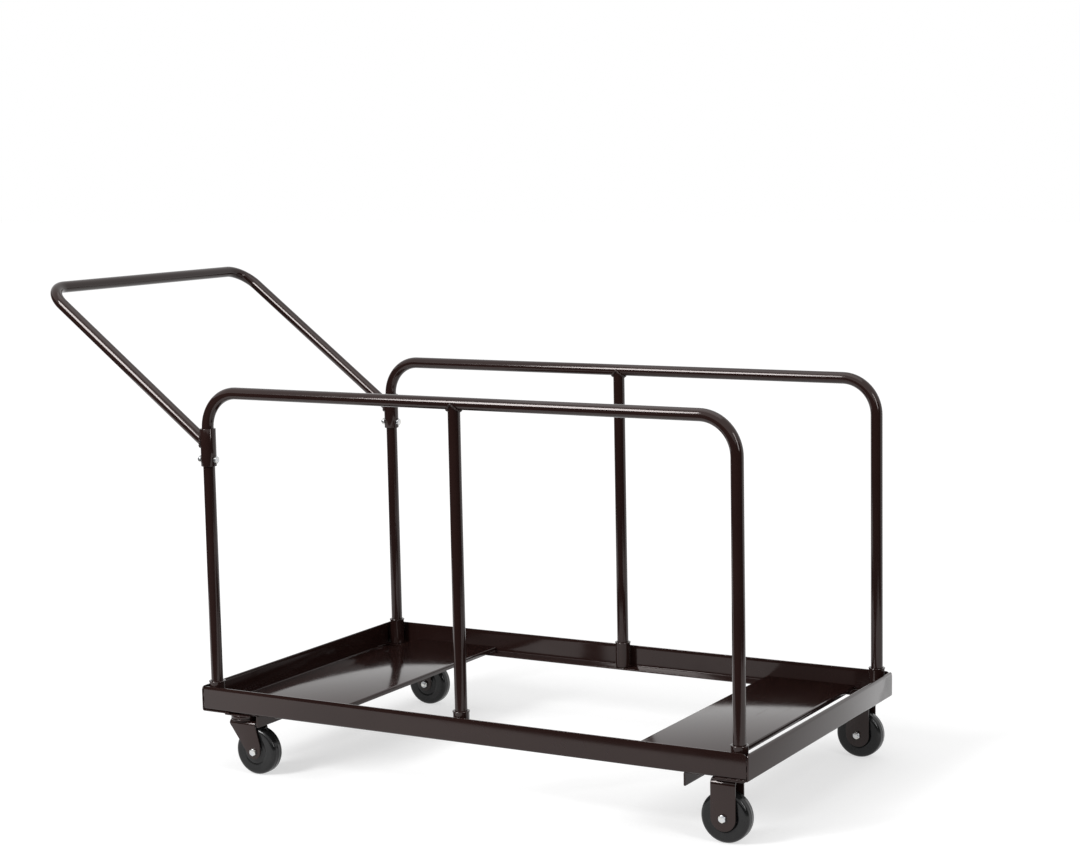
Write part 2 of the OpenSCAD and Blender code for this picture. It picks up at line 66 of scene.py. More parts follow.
def noise(tree, coords, scale, detail=3.0, stretch=(1, 1, 1)):
    """Cloudy value over the piece's own coordinates; the scale is in features per metre."""
    spread = tree.nodes.new("ShaderNodeMapping")
    spread.inputs["Scale"].default_value = stretch
    cloud = tree.nodes.new("ShaderNodeTexNoise")
    cloud.inputs["Scale"].default_value = scale
    cloud.inputs["Detail"].default_value = detail
    tree.links.new(coords, spread.inputs["Vector"])
    tree.links.new(spread.outputs["Vector"], cloud.inputs["Vector"])
    return cloud.outputs["Fac"]


def ramp(tree, value, low, low_colour, high, high_colour):
    """Colour that runs from one end to the other as the value rises."""
    scale = tree.nodes.new("ShaderNodeValToRGB")
    scale.color_ramp.elements[0].position = low
    scale.color_ramp.elements[0].color = low_colour
    scale.color_ramp.elements[1].position = high
    scale.color_ramp.elements[1].color = high_colour
    tree.links.new(value, scale.inputs["Fac"])
    return scale.outputs["Color"]


def grey(level):
    return (level, level, level, 1)


def mix_colour(tree, share, under, over):
    """The first colour with the second laid over it by a share."""
    blend = tree.nodes.new("ShaderNodeMix")
    blend.data_type = "RGBA"
    tree.links.new(share, blend.inputs["Factor"])
    tree.links.new(under, blend.inputs[6])
    if isinstance(over, tuple):
        blend.inputs[7].default_value = over
    else:
        tree.links.new(over, blend.inputs[7])
    return blend.outputs[2]


def times(tree, first, second):
    product = tree.nodes.new("ShaderNodeMath")
    product.operation = "MULTIPLY"
    tree.links.new(first, product.inputs[0])
    tree.links.new(second, product.inputs[1])
    return product.outputs["Value"]


def bump(tree, height, strength, depth, under=None):
    """Surface relief from a height value; the depth is in metres."""
    relief = tree.nodes.new("ShaderNodeBump")
    relief.inputs["Strength"].default_value = strength
    relief.inputs["Distance"].default_value = depth
    tree.links.new(height, relief.inputs["Height"])
    if under is not None:
        tree.links.new(under, relief.inputs["Normal"])
    return relief.outputs["Normal"]


def sharp_edges(tree, reach):
    """1 along outer and inner edges and 0 on open faces; the reach is in metres."""
    soft = tree.nodes.new("ShaderNodeBevel")
    soft.samples = 4
    soft.inputs["Radius"].default_value = reach
    true = tree.nodes.new("ShaderNodeNewGeometry")
    match = tree.nodes.new("ShaderNodeVectorMath")
    match.operation = "DOT_PRODUCT"
    tree.links.new(soft.outputs["Normal"], match.inputs[0])
    tree.links.new(true.outputs["Normal"], match.inputs[1])
    return ramp(tree, match.outputs["Value"], 0.80, grey(1), 0.985, grey(0))


def powder_coat(name, scuffs=None):
    """Gloss brown powder coat: cloudy tone, orange peel, and a lighter rub along the edges."""
    coat, tree, shader, coords = new_finish(name)
    colour = ramp(tree, noise(tree, coords, 4.5, 4), 0.32, coat_deep, 0.70, coat_pale)
    patches = ramp(tree, noise(tree, coords, 60, 4), 0.42, grey(0), 0.72, grey(0.55))
    rubbed = times(tree, sharp_edges(tree, 0.0012), patches)
    colour = mix_colour(tree, rubbed, colour, coat_rubbed)
    gloss = ramp(tree, noise(tree, coords, 24, 3), 0.25, grey(0.085), 0.75, grey(0.135))
    relief = bump(tree, noise(tree, coords, 110, 1), 0.025, 0.0001)
    if scuffs is not None:
        marks = scuffs(tree, coords)
        colour = mix_colour(tree, marks, colour, coat_rubbed)
        gloss = mix_colour(tree, marks, gloss, grey(0.55))
    tree.links.new(colour, shader.inputs["Base Color"])
    tree.links.new(gloss, shader.inputs["Roughness"])
    tree.links.new(relief, shader.inputs["Normal"])
    shader.inputs["IOR"].default_value = 1.42
    shader.inputs["Specular Tint"].default_value = coat_sheen
    return coat


def in_object_mode():
    """Leaves edit mode if a piece is being edited."""
    if bpy.context.object is not None and bpy.context.object.mode != "OBJECT":
        bpy.ops.object.mode_set(mode="OBJECT")


def only(piece):
    """Leaves this piece alone selected and active."""
    in_object_mode()
    bpy.ops.object.select_all(action="DESELECT")
    piece.select_set(True)
    bpy.context.view_layer.objects.active = piece


def named(name):
    """Names the piece that was just added or copied and sets its place into its mesh."""
    piece = bpy.context.object
    piece.name = name
    piece.data.name = name
    bpy.ops.object.transform_apply(location=True, rotation=True, scale=True)
    return piece


def clear():
    """Deselects everything before the next primitive is added."""
    in_object_mode()
    bpy.ops.object.select_all(action="DESELECT")


def sheet(name, corner, across, up):
    """Flat sheet from a corner along two sides."""
    clear()
    bpy.ops.mesh.primitive_plane_add(size=1)
    side = across.cross(up).normalized()
    turn = Matrix((across, up, side)).transposed().to_4x4()
    turn.translation = corner + across / 2 + up / 2
    bpy.context.object.matrix_world = turn
    return named(name)


def pick(piece, kind, test):
    """Selects the piece's vertices, edges or faces by their place and stays in edit mode."""
    only(piece)
    bpy.ops.object.mode_set(mode="EDIT")
    bpy.ops.mesh.select_mode(type=kind)
    bpy.ops.mesh.select_all(action="DESELECT")
    bpy.ops.object.mode_set(mode="OBJECT")
    mesh = piece.data
    if kind == "VERT":
        for vert in mesh.vertices:
            vert.select = test(vert.co)
    elif kind == "EDGE":
        for edge in mesh.edges:
            edge.select = all(test(mesh.vertices[i].co) for i in edge.vertices)
    else:
        for face in mesh.polygons:
            face.select = test(face.center)
    bpy.ops.object.mode_set(mode="EDIT")


def pull(step):
    """Extrudes what is selected along a step."""
    bpy.ops.mesh.extrude_region_move(TRANSFORM_OT_translate={"value": tuple(step)})


def modify(piece, kind, **settings):
    """Adds a modifier and applies it."""
    only(piece)
    change = piece.modifiers.new(kind.lower(), kind)
    for key, value in settings.items():
        setattr(change, key, value)
    bpy.ops.object.modifier_apply(modifier=change.name)


def even_out(piece):
    """Makes all faces of an open sheet look to the same side, whichever that is."""
    only(piece)
    bpy.ops.object.mode_set(mode="EDIT")
    bpy.ops.mesh.select_all(action="SELECT")
    bpy.ops.mesh.normals_make_consistent(inside=False)
    bpy.ops.object.mode_set(mode="OBJECT")


def turn_over(piece):
    """Makes all faces look to the other side."""
    only(piece)
    bpy.ops.object.mode_set(mode="EDIT")
    bpy.ops.mesh.select_all(action="SELECT")
    bpy.ops.mesh.flip_normals()
    bpy.ops.object.mode_set(mode="OBJECT")


def face_out(piece, outward):
    """Turns an open sheet so that the face that looks most along outward points that way."""
    even_out(piece)
    face = max(piece.data.polygons, key=lambda f: abs(f.normal.dot(outward)) * f.area)
    if face.normal.dot(outward) < 0:
        turn_over(piece)


def soften(piece, width, segments=2, angle=38):
    """Rounds the piece's sharp edges."""
    modify(
        piece, "BEVEL", width=width, segments=segments,
        limit_method="ANGLE", angle_limit=math.radians(angle))


def set_up(piece, body, finish, slot, *nodes):
    """Smooths a finished piece, gives it its finish, and fixes it to its body in place of its solids."""
    only(piece)
    bpy.ops.object.shade_smooth_by_angle(angle=math.radians(34))
    piece.data.materials.clear()
    piece.data.materials.append(finish)
    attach(piece, body)
    if nodes:
        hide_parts(*nodes)
    return piece


def bent_angle(name, heel, along, stand, lie, corner):
    """Angle bent from sheet: the standing leg first, then the lying leg, the bend and the corners."""
    piece = sheet(name, heel, along, stand)
    at_heel = lambda co: abs((co - heel).dot(stand.normalized())) < same_place
    pick(piece, "EDGE", at_heel)
    pull(lie)
    pick(piece, "EDGE", lambda co: at_heel(co) and abs((co - heel).dot(lie.normalized())) < same_place)
    bpy.ops.mesh.bevel(offset=rail_bend, segments=6, affect="EDGES")
    pick(piece, "VERT", lambda co: (co - heel).dot(stand.normalized()) > stand.length - same_place)
    bpy.ops.mesh.bevel(offset=corner, segments=8, affect="VERTICES")
    face_out(piece, -lie.normalized())
    modify(piece, "SOLIDIFY", thickness=rail_sheet, offset=-1, use_even_offset=True)
    soften(piece, cut_edge)
    return piece


brown = powder_coat("brown_powder_coat")
side_rails = ("front_side_rail", "rear_side_rail")
for node in side_rails:
    lo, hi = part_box(node)
    near = node.startswith("front")
    rail = bent_angle(
        node + "_bent",
        Vector((lo.x, lo.y if near else hi.y, lo.z)),
        Vector((hi.x - lo.x, 0, 0)),
        Vector((0, 0, hi.z - lo.z)),
        Vector((0, (hi.y - lo.y) if near else (lo.y - hi.y), 0)),
        rail_corner,
    )
    set_up(rail, "frame", brown, "brown_paint", node)

# End rails. Angles of the same sheet close the two ends: the standing leg covers the side rails' ends,
# and the wide lying leg passes below them. They are welded on and coated with the rest.
for node in ("left_end_rail", "right_end_rail"):
    lo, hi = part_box(node)
    left = node.startswith("left")
    rail = bent_angle(
        node + "_bent",
        Vector((lo.x if left else hi.x, lo.y, lo.z)),
        Vector((0, hi.y - lo.y, 0)),
        Vector((0, 0, hi.z - lo.z)),
        Vector(((hi.x - lo.x) if left else (lo.x - hi.x), 0, 0)),
        rail_corner,
    )
    set_up(rail, "frame", brown, "brown_paint", node)

# Cross angles. Shorter angles run across below the side rails, one beside each pair of casters,
# with the narrow leg hanging down on the inner side. Sheared from the same sheet and welded.
cross_corner = 0.003
cross_angles = ("left_cross_angle", "right_cross_angle")
for node in cross_angles:
    lo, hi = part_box(node)
    left = node.startswith("left")
    angle = bent_angle(
        node + "_bent",
        Vector((hi.x if left else lo.x, lo.y, hi.z)),
        Vector((0, hi.y - lo.y, 0)),
        Vector((0, 0, lo.z - hi.z)),
        Vector(((lo.x - hi.x) if left else (hi.x - lo.x), 0, 0)),
        cross_corner,
    )
    set_up(angle, "frame", brown, "brown_paint", node)

# Decks. A shallow tray of 2.5 mm sheet near each end carries the load; its long edges are folded down
# onto the side rails' lying legs. The coat is scuffed where goods slide across it.
deck_sheet = 0.0025
deck_bend = 0.004
thin_edge = 0.0005


def slide_marks(tree, coords):
    """Faint long scuffs across the trolley."""
    fine = ramp(tree, noise(tree, coords, 9, 6, (14, 1, 1)), 0.56, grey(0), 0.78, grey(0.5))
    patch = ramp(tree, noise(tree, coords, 5, 2), 0.40, grey(0), 0.75, grey(0.6))
    return times(tree, fine, patch)


def middle(node):
    """Middle of a solid's box."""
    lo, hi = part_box(node)
    return (lo + hi) / 2


def like_pieces(nodes, ending, model):
    """Models the first of some like pieces, copies it to the places of the rest, each copy with its own
    mesh, and gives every piece with the solid that it stands for."""
    first = model(nodes[0] + ending, *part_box(nodes[0]))
    pieces = [first]
    for node in nodes[1:]:
        only(first)
        bpy.ops.object.duplicate()
        bpy.context.object.location = middle(node) - middle(nodes[0])
        pieces.append(named(node + ending))
    return list(zip(nodes, pieces))


def folded_deck(name, lo, hi):
    """Tray with its long edges folded down."""
    size = hi - lo
    deck = sheet(name, Vector((lo.x, lo.y, hi.z)), Vector((size.x, 0, 0)), Vector((0, size.y, 0)))
    on_top = lambda co: abs(co.z - hi.z) < same_place
    for x in (lo.x, hi.x):
        pick(deck, "EDGE", lambda co: on_top(co) and abs(co.x - x) < same_place)
        pull((0, 0, -size.z))
    pick(deck, "EDGE", lambda co: on_top(co) and min(abs(co.x - lo.x), abs(co.x - hi.x)) < same_place)
    bpy.ops.mesh.bevel(offset=deck_bend, segments=5, affect="EDGES")
    face_out(deck, Vector((0, 0, 1)))
    modify(deck, "SOLIDIFY", thickness=deck_sheet, offset=-1, use_even_offset=True)
    soften(deck, thin_edge)
    return deck


scuffed_brown = powder_coat("scuffed_brown_powder_coat", slide_marks)
decks = ("left_deck", "right_deck")
for node, deck in like_pieces(decks, "_folded", folded_deck):
    set_up(deck, "frame", scuffed_brown, "brown_paint", node)

# Sockets. Six short tubes stand on the side rails' lying legs and take the feet of the hoops and posts.
# Each has a slightly flared lip above the rail, and is welded to the rail's inner face.
pipe_wall = 0.0038
lip_flare = 0.0011
lip_height = 0.0045


def lathe(name, profile, centre, axis, steps):
    """Ring turned about an axis from points given as (radius, distance along the axis)."""
    axis = Vector(axis)
    centre = Vector(centre)
    out = axis.orthogonal().normalized()
    points = [centre + out * r + axis * d for r, d in profile]
    clear()
    bpy.ops.mesh.primitive_plane_add(size=0.001, location=points[0])
    piece = named(name)
    bpy.ops.object.mode_set(mode="EDIT")
    bpy.ops.mesh.select_mode(type="VERT")
    bpy.ops.mesh.select_all(action="SELECT")
    bpy.ops.mesh.merge(type="CENTER")
    for last, point in zip(points, points[1:] + points[:1]):
        pull(point - last)
    bpy.ops.mesh.select_all(action="SELECT")
    bpy.ops.mesh.remove_doubles(threshold=1e-6)
    bpy.ops.mesh.spin(steps=steps, angle=math.tau, center=tuple(centre), axis=tuple(axis))
    bpy.ops.mesh.select_all(action="SELECT")
    bpy.ops.mesh.remove_doubles(threshold=1e-6)
    bpy.ops.mesh.normals_make_consistent(inside=False)
    bpy.ops.object.mode_set(mode="OBJECT")
    return piece


def turned_socket(name, lo, hi):
    """Short tube with a flared lip."""
    outer = (hi.x - lo.x) / 2
    bore = outer - pipe_wall
    tall = hi.z - lo.z
    return lathe(
        name,
        [
            (bore, 0.0), (outer - 0.0016, 0.0), (outer, 0.0016), (outer, tall - lip_height),
            (outer + lip_flare * 0.6, tall - lip_height * 0.55), (outer + lip_flare, tall - 0.0010),
            (outer + lip_flare * 0.7, tall - 0.0003), (outer + lip_flare * 0.1, tall),
            (bore + 0.0008, tall), (bore + 0.0002, tall - 0.0003), (bore, tall - 0.0010),
        ],
        ((lo.x + hi.x) / 2, (lo.y + hi.y) / 2, lo.z),
        (0, 0, 1),
        48,
    )


sockets = (
    "front_left_socket", "front_middle_socket", "front_right_socket",
    "rear_left_socket", "rear_middle_socket", "rear_right_socket",
)
for node, socket in like_pieces(sockets, "_turned", turned_socket):
    set_up(socket, "frame", brown, "brown_paint", node)

# Hoops. One steel tube a side, 25.4 mm across with a 1.6 mm wall, bent twice into two uprights and
# a top bar. The feet stand in the corner sockets.
tube_wall = 0.0016
hoop_bend = 0.076


def bent_tube(name, radius, foot, heading, steps):
    """Tube drawn out from its first end: a run is a step, and a bend turns about a centre and axis."""
    clear()
    bpy.ops.mesh.primitive_circle_add(
        vertices=40, radius=radius, location=foot, rotation=heading.to_track_quat("Z", "Y").to_euler())
    piece = named(name)
    bpy.ops.object.mode_set(mode="EDIT")
    bpy.ops.mesh.select_all(action="SELECT")
    for step in steps:
        if len(step) == 3:
            centre, axis, turn = step
            bpy.ops.mesh.spin(steps=18, angle=-turn, center=tuple(centre), axis=tuple(axis))
        else:
            pull(step[0])
    bpy.ops.mesh.select_all(action="SELECT")
    bpy.ops.mesh.remove_doubles(threshold=1e-6)
    bpy.ops.object.mode_set(mode="OBJECT")
    return piece


def hollow(piece, foot, wall):
    """Faces the tube's skin away from its middle line, on which the foot lies, and gives it its wall."""
    even_out(piece)
    near = min(piece.data.polygons, key=lambda f: (f.center - foot).length)
    if near.normal.dot(near.center - foot) < 0:
        turn_over(piece)
    modify(piece, "SOLIDIFY", thickness=wall, offset=-1, use_even_offset=True)


def bent_hoop(name, lo, hi):
    """Upright, bend, top bar, bend and upright in one tube."""
    radius = (hi.y - lo.y) / 2
    middle_y = (lo.y + hi.y) / 2
    left_x, right_x, bar_z = lo.x + radius, hi.x - radius, hi.z - radius
    foot = Vector((left_x, middle_y, lo.z))
    hoop = bent_tube(
        name, radius, foot, Vector((0, 0, 1)),
        [
            (Vector((0, 0, bar_z - hoop_bend - lo.z)),),
            (Vector((left_x + hoop_bend, middle_y, bar_z - hoop_bend)), (0, 1, 0), math.pi / 2),
            (Vector((right_x - left_x - 2 * hoop_bend, 0, 0)),),
            (Vector((right_x - hoop_bend, middle_y, bar_z - hoop_bend)), (0, 1, 0), math.pi / 2),
            (Vector((0, 0, lo.z - bar_z + hoop_bend)),),
        ],
    )
    hollow(hoop, foot, tube_wall)
    return hoop


for node, hoop in like_pieces(("front_hoop", "rear_hoop"), "_tube", bent_hoop):
    set_up(hoop, "frame", brown, "brown_paint", node)

# Posts. A plain tube of the same size stands in each middle socket; its top is cut to a saddle that
# meets the bar, and a bead of weld runs round the joint under the coat.
weld_bead = 0.0031


def weld_coat():
    """The brown coat over a bead of weld: ripples and a duller skin."""
    coat = powder_coat("brown_coat_over_weld")
    tree = coat.node_tree
    shader = tree.nodes["Principled BSDF"]
    coords = tree.nodes.new("ShaderNodeTexCoord").outputs["Object"]
    under = shader.inputs["Normal"].links[0].from_socket
    tree.links.new(bump(tree, noise(tree, coords, 300, 4), 0.45, 0.0012, under), shader.inputs["Normal"])
    dull = ramp(tree, noise(tree, coords, 90, 3), 0.3, grey(0.30), 0.7, grey(0.48))
    tree.links.new(dull, shader.inputs["Roughness"])
    return coat


def weld_ring(name, centre, axis, ring, along):
    """Rippled bead round a tube; along gives how far a point of the joint lies from the centre."""
    clear()
    axis = Vector(axis).normalized()
    bpy.ops.mesh.primitive_torus_add(
        major_radius=ring, minor_radius=weld_bead, major_segments=96, minor_segments=10,
        location=centre, rotation=axis.to_track_quat("Z", "Y").to_euler())
    piece = named(name)
    first = axis.orthogonal().normalized()
    second = first.cross(axis)
    for vert in piece.data.vertices:
        arm = vert.co - centre
        flat = arm - axis * arm.dot(axis)
        core = centre + flat.normalized() * ring
        turn = math.atan2(flat.dot(second), flat.dot(first))
        swell = 1 + 0.14 * math.sin(turn * 17) + 0.08 * math.sin(turn * 41 + 1.0)
        vert.co = core + (vert.co - core) * swell + axis * along(flat.normalized() * ring)
    return piece


def cut_post(name, lo, hi):
    """Tube up to the top bar, its end cut round to lie against the bar."""
    radius = (hi.x - lo.x) / 2
    bar_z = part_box("front_hoop")[1].z - radius
    centre = Vector(((lo.x + hi.x) / 2, (lo.y + hi.y) / 2, lo.z))
    run = Vector((0, 0, bar_z - lo.z - 0.0005))
    post = bent_tube(name, radius, centre, Vector((0, 0, 1)), [(run,)])
    for vert in post.data.vertices:
        if vert.co.z > lo.z + run.z / 2:
            vert.co.z = bar_z - math.sqrt(max((radius + 0.0001) ** 2 - (vert.co.y - centre.y) ** 2, 0))
    hollow(post, centre, tube_wall)
    return post


def post_weld(name, lo, hi):
    """Bead round the joint of a post and its bar."""
    radius = (hi.x - lo.x) / 2
    ring = radius + 0.0010
    bar_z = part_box("front_hoop")[1].z - radius
    return weld_ring(
        name, Vector(((lo.x + hi.x) / 2, (lo.y + hi.y) / 2, bar_z)), (0, 0, 1), ring,
        lambda arm: -math.sqrt(max(ring ** 2 - arm.y ** 2, 0)))


welded_brown = weld_coat()
posts = ("front_post", "rear_post")
for node, post in like_pieces(posts, "_tube", cut_post):
    set_up(post, "frame", brown, "brown_paint", node)
for node, bead in like_pieces(posts, "_weld", post_weld):
    set_up(bead, "frame", welded_brown, "brown_paint")

# Handle sleeves. A short tube slides over each upright at the handle end, just below the hoop's bend,
# and carries one arm of the handle. A bolt near its foot pins it to the upright.
sleeve_round = 0.0007


def cut_sleeve(name, lo, hi):
    """Short tube with lightly rounded ends."""
    outer = (hi.x - lo.x) / 2
    bore = outer - pipe_wall
    tall = hi.z - lo.z
    edge, arc = sleeve_round, sleeve_round * 0.3
    return lathe(
        name,
        [
            (bore, edge), (bore + arc, arc), (bore + edge, 0),
            (outer - edge, 0), (outer - arc, arc), (outer, edge),
            (outer, tall - edge), (outer - arc, tall - arc), (outer - edge, tall),
            (bore + edge, tall), (bore + arc, tall - arc), (bore, tall - edge),
        ],
        ((lo.x + hi.x) / 2, (lo.y + hi.y) / 2, lo.z),
        (0, 0, 1),
        48,
    )


sleeves = ("front_handle_sleeve", "rear_handle_sleeve")
for node, sleeve in like_pieces(sleeves, "_cut", cut_sleeve):
    set_up(sleeve, "frame", brown, "brown_paint", node)

# Handle. One 25.4 mm tube bent into two sloping arms and a crossbar for pushing at chest height.
# Each arm's end is cut round to lie against its sleeve, and welded there.
handle_bend = 0.057
arm_root_drop = 0.036
lo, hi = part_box("handle_bar")
sleeve_lo, sleeve_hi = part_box("front_handle_sleeve")
rear_sleeve_lo, rear_sleeve_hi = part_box("rear_handle_sleeve")
sleeve_r = (sleeve_hi.x - sleeve_lo.x) / 2
upright_x = (sleeve_lo.x + sleeve_hi.x) / 2
near_y = (sleeve_lo.y + sleeve_hi.y) / 2
far_y = (rear_sleeve_lo.y + rear_sleeve_hi.y) / 2
handle_r = near_y - lo.y
handle_reach = upright_x - lo.x - handle_r
root_z = sleeve_hi.z - arm_root_drop
bar_z = hi.z - handle_r
climb = bar_z - root_z
arm_l = math.hypot(handle_reach, climb)
up_arm = Vector((-handle_reach, 0, climb)) / arm_l
out_of_plane = up_arm.cross(Vector((0, 1, 0)))
near_root = Vector((upright_x, near_y, root_z))
far_root = Vector((upright_x, far_y, root_z))
arm_run = up_arm * (arm_l - handle_bend)
handle = bent_tube(
    "handle_bar_tube", handle_r, near_root, up_arm,
    [
        (arm_run,),
        (near_root + arm_run + Vector((0, handle_bend, 0)), tuple(out_of_plane), math.pi / 2),
        (Vector((0, far_y - near_y - 2 * handle_bend, 0)),),
        (far_root + arm_run - Vector((0, handle_bend, 0)), tuple(out_of_plane), math.pi / 2),
        (-arm_run,),
    ],
)
for vert in handle.data.vertices:
    root = near_root if (vert.co - near_root).length < (vert.co - far_root).length else far_root
    if (vert.co - root).length < 0.03:
        arm = vert.co - root
        across = arm - up_arm * arm.dot(up_arm)
        gap = math.sqrt((sleeve_r + 0.0001) ** 2 - across.y ** 2)
        vert.co = root + across + up_arm * ((gap + across.x) / -up_arm.x)
hollow(handle, near_root + up_arm * 0.1, tube_wall)
set_up(handle, "frame", brown, "brown_paint", "handle_bar")
for side, root in (("front", near_root), ("rear", far_root)):
    bead = weld_ring(
        side + "_arm_weld", root, up_arm, handle_r + 0.0006,
        lambda arm: (math.sqrt((sleeve_r + 0.0006) ** 2 - arm.y ** 2) + arm.x) / -up_arm.x)
    set_up(bead, "frame", welded_brown, "brown_paint")

# Sleeve bolts and nuts. Zinc-plated hex bolts go through the sleeve and the upright, with the head on
# the inner side and the nut outside. The head's corners are chamfered and the thread end shows.
hex_flats = 0.0143
bolt_r = 0.00475
thread_pitch = 0.0016
thread_depth = 0.0006
zinc_blue = (0.58, 0.60, 0.63, 1)
zinc_straw = (0.70, 0.69, 0.65, 1)
shop_dirt = (0.30, 0.29, 0.27, 1)


def zinc_plate():
    """Bright zinc: pale metal with faint blue and straw clouds and fine rub marks."""
    zinc, tree, shader, coords = new_finish("bright_zinc_plate")
    colour = ramp(tree, noise(tree, coords, 130, 3), 0.35, zinc_blue, 0.68, zinc_straw)
    patches = ramp(tree, noise(tree, coords, 260, 3), 0.45, grey(0), 0.8, grey(0.5))
    dirt = times(tree, sharp_edges(tree, 0.0008), patches)
    colour = mix_colour(tree, dirt, colour, shop_dirt)
    tree.links.new(colour, shader.inputs["Base Color"])
    gloss = ramp(tree, noise(tree, coords, 420, 4), 0.3, grey(0.22), 0.7, grey(0.40))
    tree.links.new(gloss, shader.inputs["Roughness"])
    tree.links.new(bump(tree, noise(tree, coords, 900, 3), 0.15, 0.0002), shader.inputs["Normal"])
    shader.inputs["Metallic"].default_value = 1.0
    return zinc


def join(first, *others):
    """Makes the pieces one mesh under the first one's name."""
    only(first)
    for other in others:
        other.select_set(True)
    bpy.ops.object.join()
    return first


def hex_block(name, seat, axis, height, bored):
    """Hex of bar stock on its seat, its outer corners turned back to a chamfer."""
    turn = axis.to_track_quat("Z", "Y").to_euler()
    corner_r = hex_flats / 2 / math.cos(math.pi / 6)
    halfway = seat + axis * height / 2
    clear()
    bpy.ops.mesh.primitive_cylinder_add(
        vertices=6, radius=corner_r, depth=height, location=halfway, rotation=turn)
    block = named(name)
    clear()
    bpy.ops.mesh.primitive_cone_add(
        vertices=64, radius1=corner_r * 1.9, radius2=hex_flats * 0.455, depth=height,
        location=seat + axis * height * 0.5001, rotation=turn)
    chamfer = named(name + "_chamfer")
    modify(block, "BOOLEAN", operation="INTERSECT", object=chamfer, solver="EXACT")
    bpy.data.objects.remove(chamfer)
    if bored:
        clear()
        bpy.ops.mesh.primitive_cylinder_add(
            vertices=40, radius=bolt_r + 0.00005, depth=height * 2, location=halfway, rotation=turn)
        bore = named(name + "_bore")
        modify(block, "BOOLEAN", operation="DIFFERENCE", object=bore, solver="EXACT")
        bpy.data.objects.remove(bore)
    soften(block, 0.00025, 1, 25)
    return block


def hex_bolt(name, seat, axis, head, grip, tip):
    """Bolt with its head's seat at a point, its shank along the axis and a threaded end."""
    block = hex_block(name, seat, -axis, head, False)
    thread_from = grip - 0.001
    profile = [(0.0, -0.001), (bolt_r, -0.001), (bolt_r, thread_from)]
    at = thread_from
    while at + thread_pitch < grip + tip - thread_depth:
        profile += [(bolt_r - thread_depth, at + thread_pitch / 2), (bolt_r, at + thread_pitch)]
        at += thread_pitch
    profile += [(bolt_r - 0.0008, grip + tip), (0.0, grip + tip)]
    return join(block, lathe(name + "_shank", profile, seat, axis, 32))


def sleeve_bolt(name, lo, hi):
    """Bolt with its head on the sleeve's inner side."""
    nut_seat_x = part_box("front_sleeve_nut")[1].x
    grip = 2 * sleeve_r
    seat = Vector((nut_seat_x + grip, (lo.y + hi.y) / 2, (lo.z + hi.z) / 2))
    return hex_bolt(name, seat, outward, hi.x - seat.x, grip, nut_seat_x - lo.x)


def sleeve_nut(name, lo, hi):
    """Nut on the sleeve's outer side."""
    seat = Vector((hi.x, (lo.y + hi.y) / 2, (lo.z + hi.z) / 2))
    return hex_block(name, seat, outward, hi.x - lo.x, True)


zinc = zinc_plate()
outward = Vector((-1, 0, 0))
for node, bolt in like_pieces(("front_sleeve_bolt", "rear_sleeve_bolt"), "_turned", sleeve_bolt):
    set_up(bolt, "frame", zinc, "zinc", node)
for node, nut in like_pieces(("front_sleeve_nut", "rear_sleeve_nut"), "_turned", sleeve_nut):
    set_up(nut, "frame", zinc, "zinc", node)

# Caster top plates. A flat plate with rounded corners is welded below the base at each corner. The two
# at the handle end have a pressed race below, a cup that the balls of the swivel run in.
plate_sheet = 0.0032
plate_corner = 0.006
race_r = 0.030
race_sheet = 0.003
groove_r = 0.0220
groove_deep = 0.00078
pin_r = 0.006


def top_plate(name, lo, hi):
    """Flat plate with rounded corners, below the height hi.z."""
    size = hi - lo
    plate = sheet(name, Vector((lo.x, lo.y, hi.z)), Vector((size.x, 0, 0)), Vector((0, size.y, 0)))
    pick(plate, "VERT", lambda co: True)
    bpy.ops.mesh.bevel(offset=plate_corner, segments=6, affect="VERTICES")
    face_out(plate, Vector((0, 0, 1)))
    modify(plate, "SOLIDIFY", thickness=plate_sheet, offset=-1)
    soften(plate, thin_edge)
    return plate


def race(name, centre, base, way, skirt=0.0):
    """Pressed disc with a groove for the balls, from base upwards or downwards, and a skirt past its face."""
    t = race_sheet
    deep = t + skirt
    rim = [
        (pin_r + 0.0001, 0.0), (race_r - 0.0014, 0.0), (race_r - 0.0004, 0.0004), (race_r, 0.0012),
        (race_r, deep - 0.0010), (race_r - 0.0004, deep - 0.0003), (race_r - 0.0012, deep),
    ]
    if skirt:
        rim += [(race_r - 0.0026, deep), (race_r - 0.0030, deep - 0.0004), (race_r - 0.0030, t)]
    groove = [
        (groove_r + 0.0023, t), (groove_r + 0.0016, t - 0.0005), (groove_r, t - groove_deep),
        (groove_r - 0.0016, t - 0.0005), (groove_r - 0.0023, t), (pin_r + 0.0001, t),
    ]
    return lathe(name, [(r, way * d) for r, d in rim + groove], (centre.x, centre.y, base), (0, 0, 1), 64)


def swivel_plate(name, lo, hi):
    """Top plate with the upper race of a swivel."""
    skirt = hi.z - lo.z - plate_sheet - race_sheet
    cup = race(name + "_race", (lo + hi) / 2, hi.z - plate_sheet, -1, skirt)
    return join(top_plate(name, lo, hi), cup)


swivel_plates = like_pieces(("front_left_plate", "rear_left_plate"), "_cut", swivel_plate)
rigid_plates = like_pieces(("front_right_plate", "rear_right_plate"), "_cut", top_plate)
for node, plate in swivel_plates + rigid_plates:
    set_up(plate, "frame", brown, "brown_paint", node)

# Forks. Each is one blank of 3.2 mm steel pressed to a U that straddles the wheel. The swivel forks rake
# back to a trailing axle and carry the lower race; the rigid ones stand straight, riveted flat to the plate.
fork_sheet = 0.0032
swivel_bend = 0.008
rigid_bend = 0.012
swivel_crown = 0.116
shoulder_drop = 0.009
shoulder_back = 0.026
crown_front = 0.040
fork_half = 0.0212
leg_end = 0.016


